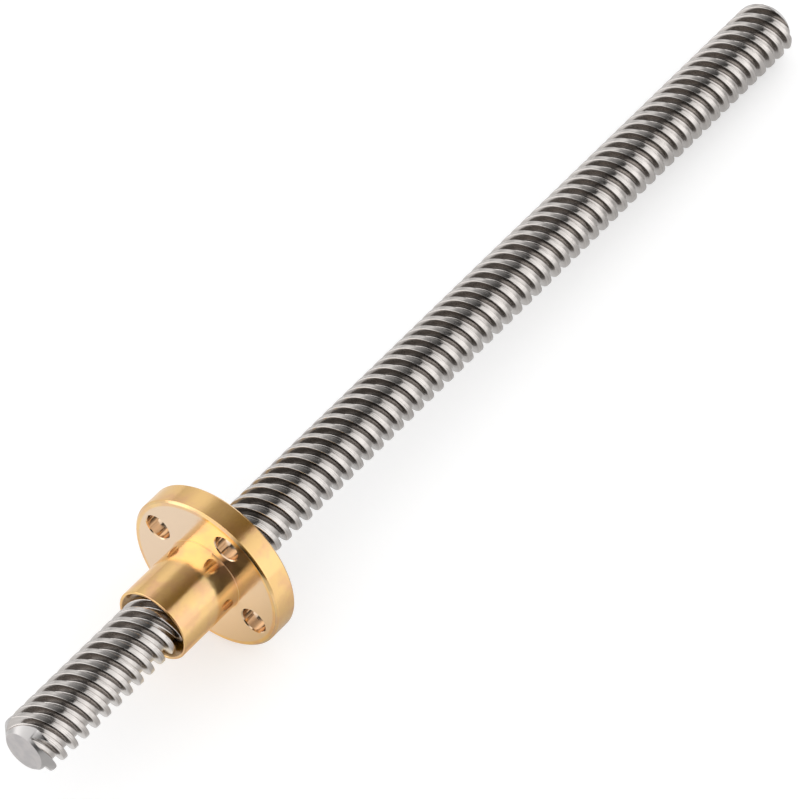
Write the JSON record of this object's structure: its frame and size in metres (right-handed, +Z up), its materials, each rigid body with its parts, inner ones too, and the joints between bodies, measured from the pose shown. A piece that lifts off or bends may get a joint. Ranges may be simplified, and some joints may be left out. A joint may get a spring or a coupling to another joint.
{
  "type": "trapezoidal lead screw with flanged nut",
  "caption": "Multi-start trapezoidal lead screw rod with a flanged brass nut that travels along it and carries a slide or bed.",
  "frame": {"origin": "on the resting surface, under the middle of the screw and of the whole box", "axes": "+X from the near end to the far end of the screw, which slopes down by 3.57 degrees along it because the screw rests on the flange's rim and on its far end; +Z up"},
  "size_m": [0.15, 0.0224, 0.0221],
  "materials": {
    "bright_steel": "rolled and polished crests, darker grooves",
    "turned_brass": "fine turned, bright"
  },
  "bodies": {
    "screw": {"lead_screw": "bright_steel"},
    "nut": {"flange_nut": "turned_brass"}
  },
  "joints": [
    {"name": "nut_travel", "type": "slide", "parent": "screw", "child": "nut", "axis": [0.9981, 0, -0.0624], "range_m": [-0.022, 0.11]}
  ]
}
